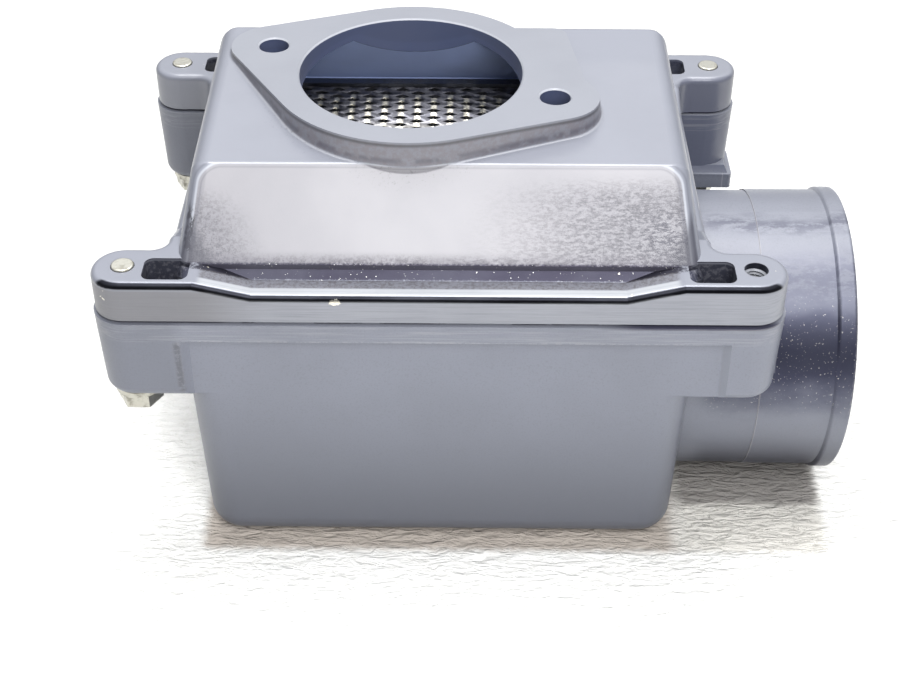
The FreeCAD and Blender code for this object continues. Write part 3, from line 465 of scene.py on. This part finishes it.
def coat_pipe(g):
    """The pipe, in bands of painted light and shade round its axis: pale on top, mottled at the
    shoulder, painted nearly black as a dark reflection where it turns forward, and near-black
    underneath.
    """
    turn = g.calc("ARCTAN2", g.less(g.z, PIPE_AXIS[1]), g.less(PIPE_AXIS[0], g.y))
    drift = g.less(g.noise(9, 3, 0.6, g.stretched(0.5, 1, 1)), 0.5)
    wander = g.plus(turn, g.times(drift, 0.3))
    clear_of_ears = g.most(g.ramp(g.size(g.y), 43.2, 42.4), g.ramp(g.x, 87.4, 88.2),
                           g.ramp(g.z, 52.8, 52.2))
    free = g.times(g.ramp(g.x, 66.0, 74.0), clear_of_ears)
    # Painted shade: a near-black belt where the pipe turns forward, a dark reflection.
    belt = g.times(free, g.band(wander, 0.10, 0.82, 0.2))
    g.coat(g.times(belt, 0.93), (0.036, 0.038, 0.072))
    # Painted shade, mottled, at the shoulder, and a dark band over it.
    shoulder = g.times(free, g.most(g.band(wander, 0.86, 1.10, 0.12), g.band(wander, 1.38, 1.52, 0.07)))
    mottle = g.ramp(g.noise(2.6, 6, 0.75, g.stretched(0.45, 1, 1)), 0.40, 0.56)
    g.coat(g.times(shoulder, mottle, 0.7), (0.055, 0.057, 0.09))
    g.coat(g.times(free, g.band(wander, 0.70, 1.25, 0.2), 0.55), (0.10, 0.105, 0.15))
    # Painted shade: the pipe's underside is painted nearly black.
    keel = g.times(free, g.ramp(turn, -0.15, -0.7))
    g.coat(g.times(keel, 0.85), (0.028, 0.031, 0.052))
    # Painted light: the side face at the end of the web under the right ear is painted paler to hide
    # its shade.
    web_end = g.times(g.band(g.x, 69.5, 75.0, 0.4), g.band(g.z, 53.0, 72.0, 0.6),
                      g.ramp(g.y, -50, -54), g.ramp(g.to_right, -0.4, -0.6))
    g.coat(g.times(web_end, 0.5), (0.25, 0.265, 0.31))
    g.coat(g.times(free, g.band(g.x, 84.35, 84.65, 0.12), 0.5), (0.36, 0.35, 0.37))
    specks = g.times(belt, g.ramp(g.noise(0.55, 2, 0.5), 0.67, 0.71))
    g.coat(specks, (0.45, 0.44, 0.42))
    # This metallic mask darkens the pipe's reflections in the belt, the shoulder and underneath:
    # painted shade.
    return g.plus(g.times(belt, 0.75), g.times(shoulder, mottle, 0.25), g.times(keel, 0.45))


def coat_flange_band(g):
    """A pale broken line under the flange band, painted shade in the joint's gap and in the groove at
    the left end, and long brushed marks on the band and ears.
    """
    ledge = g.times(g.band(g.z, 71.4, 72.6, 0.3), g.ramp(g.size(g.x), 67.0, 62.0),
                    g.ramp(g.x, 70, 62))
    g.coat(g.times(ledge, 0.4, g.ramp(g.noise(1.2, 4, 0.7), 0.4, 0.6)), (0.42, 0.41, 0.42))
    gap_shade = g.times(g.ramp(g.z, JOINT - 0.7, JOINT - 0.3), g.ramp(g.x, 36, 52),
                        g.ramp(g.y, -57, -59))
    g.coat(g.times(gap_shade, 0.85), (0.02, 0.018, 0.045))
    # Painted shade, mottled, in the groove at the left end of the front.
    corner = g.times(g.band(g.x, -66.2, -64.6, 0.5), g.band(g.z, 56.0, 72.0, 0.8),
                     g.ramp(g.y, -50, -54))
    g.coat(g.times(corner, 0.7, g.ramp(g.noise(1.4, 5, 0.7), 0.36, 0.56)), (0.06, 0.06, 0.07))
    brushed = g.noise(3.0, 5, 0.75, g.stretched(0.15, 1, 6))
    banded = g.times(g.ramp(g.z, 71.8, 72.6), g.ramp(g.to_top, 0.5, 0.2))
    g.coat(g.times(banded, g.ramp(brushed, 0.45, 0.65), 0.3), (0.33, 0.335, 0.35))


def lower_case_paint():
    """Finer-grained enamel, painted paler where it faces up as painted light and darker towards the
    bottom as painted shade, with long soft bands of painted light and shade on the pipe.
    """
    g = Graph("lower_case_paint")
    cloud = g.noise(30, 4, 0.55)
    # Painted light: faces that turn up are painted paler than the sides.
    g.color = g.mix(g.ramp(g.to_top, 0.1, 0.8), LOWER_SIDE_TONE, LOWER_TOP_TONE)
    # Painted shade: darker towards the bottom.
    g.coat(g.times(g.ramp(g.z, 62, 6), 0.75), (0.062, 0.067, 0.084))
    g.coat(g.times(g.ramp(g.noise(0.5, 3, 0.65), 0.5, 0.68), 0.2), (0.08, 0.085, 0.1))
    # Painted shade: the left end is painted darker.
    g.coat(g.times(g.ramp(g.x, -62, -68), 0.35), (0.075, 0.082, 0.105))
    g.coat(far_ear_shade(g, g.z, 56, 60), EAR_SHADE)
    pipe_painted_shade = coat_pipe(g)
    coat_flange_band(g)
    g.coat(g.times(g.ramp(cloud, 0.35, 0.7), 0.15), (0.1, 0.105, 0.125))
    normal = g.bump(g.noise(0.45, 3, 0.6), 0.3, 0.06)
    normal = g.bump(g.noise(9, 2, 0.5), 0.2, 0.4, after=normal)
    # The pipe's metallic mask darkens its reflections: painted shade.
    return g.finish(g.plus(0.34, g.times(cloud, 0.12)), pipe_painted_shade, normal, specular=0.6)


def plain_paint(name, tone, rough):
    g = Graph(name)
    g.color = g.mix(g.noise(1.2, 3, 0.6), tinted(tone, 0.7), tinted(tone, 1.3))
    return g.finish(rough, 0.0, g.bump(g.noise(0.5, 2, 0.6), 0.2, 0.05))


def metal(name, tone, rough, dirt, amount, grain):
    g = Graph(name)
    stain = g.times(g.ramp(g.noise(grain, 4, 0.65), 0.45, 0.7), amount)
    g.color = g.mix(stain, tone, dirt)
    return g.finish(g.plus(rough, g.times(stain, 0.35)), g.less(1.0, g.times(stain, 0.6)),
                    g.bump(g.noise(grain / 5, 2, 0.6), 0.2, 0.04))


def gasket_paint():
    """A dark sheet whose edge the enamel has covered along the middle of the front."""
    g = Graph("gasket_edge")
    middle = g.times(g.ramp(g.x, -58, -48), g.ramp(g.x, 50, 38))
    broken = g.ramp(g.noise(4.0, 4, 0.7, g.stretched(0.3, 1, 1)), 0.50, 0.56)
    covered = g.times(middle, g.less(1.0, g.times(broken, 0.8)))
    g.color = g.mix(covered, (0.018, 0.017, 0.030), (0.21, 0.22, 0.25))
    return g.finish(0.6, 0.0, g.bump(g.noise(0.6, 3, 0.6), 0.3, 0.06))


def screen_metal(node, half, far):
    """Bright drawn knuckles in straight columns as far back as far, beyond which painted shade hides
    them; strands between, pale at the front and painted darker towards the back as painted shade.
    """
    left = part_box(node)[0][0] / MM
    g = Graph(node + "_metal")
    column = g.calc("FRACT", g.times(g.less(g.x, left), 1.0 / half))
    knuckle = g.ramp(g.size(g.less(column, 0.5)), 0.26, 0.44)
    stain = g.ramp(g.noise(2.0, 4, 0.65), 0.42, 0.68)
    # Painted shade: the knuckles stop shining past far, and the strands darken towards the back, under
    # the hood.
    shown = g.times(knuckle, g.less(1.0, g.times(stain, 0.45)), g.ramp(g.y, far + 1.5, far))
    between = g.mix(g.ramp(g.y, 2, 26), (0.72, 0.68, 0.56), (0.10, 0.10, 0.115))
    g.color = g.mix(shown, between, (0.62, 0.59, 0.50))
    return g.finish(g.plus(0.30, g.times(stain, 0.3)), g.less(0.9, g.times(stain, 0.5)),
                    g.bump(g.noise(0.4, 2, 0.6), 0.2, 0.04))


def dress(node, material):
    for place in bpy.data.objects[node].material_slots:
        place.material = material


zinc = metal("bolt_zinc_plate", (0.46, 0.45, 0.40), 0.3, (0.10, 0.09, 0.06), 0.55, 2.2)
dress("upper_case", upper_case_paint())
dress("lower_case", lower_case_paint())
dress("joint_gasket", gasket_paint())
dress("element_frame",
      metal("element_frame_steel", (0.16, 0.17, 0.2), 0.45, (0.05, 0.05, 0.06), 0.7, 6))
for corner in ("front_left", "rear_left", "rear_right"):
    dress(corner + "_bolt", zinc)
    dress(corner + "_washer", zinc)


def add_piece(name, mesh, material):
    """Turns a bmesh into an object of the scene that rides on the part."""
    data = bpy.data.meshes.new(name)
    mesh.to_mesh(data)
    mesh.free()
    piece = bpy.data.objects.new(name, data)
    bpy.context.collection.objects.link(piece)
    data.materials.append(material)
    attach(piece, "root")
    return piece


def add_ribbon(mesh, start, stop, low, high, strand, thick):
    """One flat strand between two points, tilted about its length and kept inside a box."""
    strand_tilt = math.radians(38)
    overlap = 0.3
    quads = ((0, 1, 2, 3), (7, 6, 5, 4), (0, 4, 5, 1), (1, 5, 6, 2), (2, 6, 7, 3), (3, 7, 4, 0))
    along = (stop - start).normalized()
    side = Vector((0, 0, 1)).cross(along).normalized()
    up = along.cross(side)
    wide = (side * math.cos(strand_tilt) + up * math.sin(strand_tilt)) * strand / 2
    deep = (up * math.cos(strand_tilt) - side * math.sin(strand_tilt)) * thick / 2
    corners = []
    for point in (start - along * overlap, stop + along * overlap):
        for a, b in ((-1, -1), (1, -1), (1, 1), (-1, 1)):
            spot = point + wide * a + deep * b
            held = [min(max(spot[axis], low[axis]), high[axis]) for axis in range(3)]
            corners.append(mesh.verts.new(Vector(held) * MM))
    for quad in quads:
        mesh.faces.new([corners[i] for i in quad])


def expanded_metal(name, node, far, long_way=9.4, short_way=4.0, strand=1.25, thick=0.5):
    """Staggered rows of slit and drawn strands: tilted ribbons that join at flat knuckles."""
    row_start, row_end, drawn, raised, slack = 0.8, 0.4, 0.92, 0.55, 0.05
    low, high = [[value / MM for value in corner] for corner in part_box(node)]
    left, front, bottom = low
    right, back, top = high
    level = (bottom + top) / 2
    lift = ((top - bottom) / 2 - slack) * raised
    pitch = short_way / 2
    half = long_way / 2
    mesh = bmesh.new()
    for row in range(int((back - front) / pitch)):
        base = front + row_start + row * pitch
        for column in range(int((right - left) / half) + 1):
            x0 = left + column * half
            flip = (row + column) % 2
            y0 = base + (pitch if flip else 0) * drawn
            y1 = base + (0 if flip else pitch) * drawn
            rise = lift if flip else -lift
            if x0 + half <= right and max(y0, y1) <= back - row_end:
                add_ribbon(mesh, Vector((x0, y0, level + rise)),
                           Vector((x0 + half, y1, level - rise)), low, high, strand, thick)
    piece = add_piece(name, mesh, screen_metal(node, half, far))
    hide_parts(node)


expanded_metal("upper_expanded_metal", "upper_screen", 37.5)
expanded_metal("lower_expanded_metal", "lower_screen", 60.0)


def screw_thread(name, center, low, high, wall, depth, pitch=1.0, steps=28):
    """The ridge of an internal thread: a helix of triangular section on the hole's wall."""
    flank = pitch * 0.42
    mesh = bmesh.new()
    turns = int((high - low - pitch) / pitch)
    rings = []
    for step in range(turns * steps + 1):
        angle = 2 * math.pi * step / steps
        rise = low + pitch / 2 + pitch * step / steps
        ring = []
        for radius, offset in ((wall, -flank), (wall - depth, 0.0), (wall, flank)):
            spot = Vector((center[0] + radius * math.cos(angle),
                           center[1] + radius * math.sin(angle), rise + offset))
            ring.append(mesh.verts.new(spot * MM))
        rings.append(ring)
    for one, two in zip(rings, rings[1:]):
        for a, b in ((0, 1), (1, 2), (2, 0)):
            mesh.faces.new((one[a], two[a], two[b], one[b]))
    mesh.faces.new(rings[0])
    mesh.faces.new(rings[-1][::-1])
    bmesh.ops.recalc_face_normals(mesh, faces=mesh.faces)
    piece = add_piece(name, mesh, plain_paint("thread_paint", (0.26, 0.27, 0.30), 0.3))


THREAD_TOP = 89.3
THREAD_WALL = 3.02
THREAD_DEPTH = 0.5
screw_thread("open_hole_thread", OPEN_HOLE, SEAT + 0.2, THREAD_TOP, THREAD_WALL, THREAD_DEPTH)


def floor_sheet(name, size):
    reach = size / 2
    data = bpy.data.meshes.new(name)
    data.from_pydata([(-reach, -reach, 0), (reach, -reach, 0), (reach, reach, 0),
                      (-reach, reach, 0)], [], [(0, 1, 2, 3)])
    piece = bpy.data.objects.new(name, data)
    bpy.context.collection.objects.link(piece)
    return piece


def embossed_paper():
    """White embossed paper with painted shadows: a warm dark one close round the box, a lighter one at
    its right, a dark one under the pipe, and crease lines painted darker in the shadow at the right.
    """
    box_middle, box_half = (21, -2), (84, 56)
    g = Graph("embossed_paper")
    emboss = g.noise(5.0, 3, 0.55, g.stretched(1, 1.7, 1), distort=0.8)
    crease = g.ramp(emboss, 0.42, 0.6)
    folds = g.noise(5.0, 3, 0.55, g.stretched(0.75, 2.4, 1), distort=0.8)
    line = g.most(g.band(folds, 0.495, 0.510, 0.014), g.times(g.band(folds, 0.57, 0.58, 0.01), 0.7))
    dx = g.most(g.less(g.size(g.less(g.x, box_middle[0])), box_half[0]), 0.0)
    dy = g.most(g.less(g.size(g.less(g.y, box_middle[1])), box_half[1]), 0.0)
    away = g.plus(g.reach(dx, dy), g.times(g.less(g.noise(3.0, 3, 0.6), 0.5), 3.0))
    near = g.ramp(away, 4.5, 0.5)
    right = g.times(near, g.ramp(g.x, 62, 70))
    front = g.times(near, g.ramp(g.x, 70, 62))
    under_pipe = g.times(right, g.ramp(g.plus(g.y, g.times(folds, 5.0)), -41, -37))
    g.color = g.mix(crease, (0.90, 0.893, 0.865), (0.945, 0.94, 0.915))
    # Painted shadows round the box and under the pipe.
    g.coat(g.times(front, 0.95), (0.475, 0.42, 0.37))
    g.coat(g.times(right, 0.9), (0.76, 0.735, 0.68))
    g.coat(g.times(under_pipe, 0.92), (0.25, 0.235, 0.225))
    # Crease lines in the paper, painted much darker as painted shade in the shadow at the right.
    g.coat(g.times(line, g.plus(0.12, g.times(right, 0.7))), (0.25, 0.235, 0.21))
    return g.finish(0.75, 0.0, g.bump(g.plus(emboss, g.times(folds, 1.2)), 0.8, 1.4))


FLOOR_SIZE = 2.4
floor_sheet("paper_floor", FLOOR_SIZE).data.materials.append(embossed_paper())


def soft_room(ceiling, fill):
    """White to the camera; to the part, a bright ceiling, paler walls and a dim room behind."""
    world = bpy.data.worlds.new("soft_room")
    bpy.context.scene.world = world
    world.use_nodes = True
    tree = world.node_tree
    tree.nodes.clear()

    def add(kind, **settings):
        node = tree.nodes.new(kind)
        for key, value in settings.items():
            setattr(node, key, value)
        return node

    def ramp(source, low, high, start, stop):
        node = add("ShaderNodeMapRange", interpolation_type="SMOOTHSTEP")
        tree.links.new(source, node.inputs["Value"])
        for key, value in (("From Min", low), ("From Max", high), ("To Min", start), ("To Max", stop)):
            node.inputs[key].default_value = value
        return node.outputs[0]

    def light(color, strength):
        node = add("ShaderNodeBackground")
        node.inputs["Color"].default_value = (*color, 1)
        if isinstance(strength, float):
            node.inputs["Strength"].default_value = strength
        else:
            tree.links.new(strength, node.inputs["Strength"])
        return node.outputs[0]

    def either(amount, first, second):
        node = add("ShaderNodeMixShader")
        tree.links.new(amount, node.inputs["Fac"])
        tree.links.new(first, node.inputs[1])
        tree.links.new(second, node.inputs[2])
        return node.outputs[0]

    way = add("ShaderNodeSeparateXYZ")
    tree.links.new(add("ShaderNodeTexCoord").outputs["Generated"], way.inputs[0])
    blend = add("ShaderNodeMath", operation="MULTIPLY")
    tree.links.new(ramp(way.outputs[2], 0.05, 0.8, 0.2, ceiling), blend.inputs[0])
    tree.links.new(ramp(way.outputs[1], -0.85, -0.45, 0.15, 1.0), blend.inputs[1])
    path = add("ShaderNodeLightPath")
    mirrored = light((0.97, 0.98, 1.0), blend.outputs[0])
    filled = light((0.96, 0.975, 1.0), fill)
    seen = light((1.0, 1.0, 1.0), 1.0)
    lit = either(path.outputs["Is Glossy Ray"], filled, mirrored)
    shown = either(path.outputs["Is Camera Ray"], lit, seen)
    tree.links.new(shown, add("ShaderNodeOutputWorld").inputs["Surface"])


soft_room(ceiling=2.2, fill=0.38)


def lamp(name, place, target, size, power, mirrored=True):
    light = bpy.data.lights.new(name, "AREA")
    light.shape = "RECTANGLE"
    light.size, light.size_y = size
    light.energy = power
    piece = bpy.data.objects.new(name, light)
    piece.visible_glossy = mirrored
    piece.location = place
    piece.rotation_euler = (Vector(target) - Vector(place)).to_track_quat("-Z", "Y").to_euler()
    bpy.context.collection.objects.link(piece)


lamp("overhead", (0.0, 0.15, 1.1), (0, 0, 0.05), (0.7, 0.5), 12)
lamp("front_high", (0.08, -0.70, 1.05), (0, 0, 0.06), (0.6, 0.4), 5.5)
lamp("beside_camera", (0.18, -0.60, 0.46), (0, 0, 0.08), (0.3, 0.3), 3.2, mirrored=False)

# The photograph's camera in metres and radians, its sensor's width in millimetres and its
# focal length in pixels of the photograph.
FOCAL_PX = 1606.78
PHOTO_WIDTH_PX = 900
SENSOR = 36.0
CAMERA_PLACE = (0.0063747, -0.3741206, 0.3188754)
LOOKS_DOWN = 0.6621
TURNED = 0.0113
camera_data = bpy.data.cameras.new("photo_camera")
camera_data.sensor_width = SENSOR
camera_data.lens = FOCAL_PX * SENSOR / PHOTO_WIDTH_PX
camera_data.clip_start = 0.01
camera = bpy.data.objects.new("photo_camera", camera_data)
camera.location = CAMERA_PLACE
camera.rotation_euler = (math.pi / 2 - LOOKS_DOWN, 0, TURNED)
bpy.context.collection.objects.link(camera)
bpy.context.scene.camera = camera
bpy.context.scene.view_settings.view_transform = "Standard"
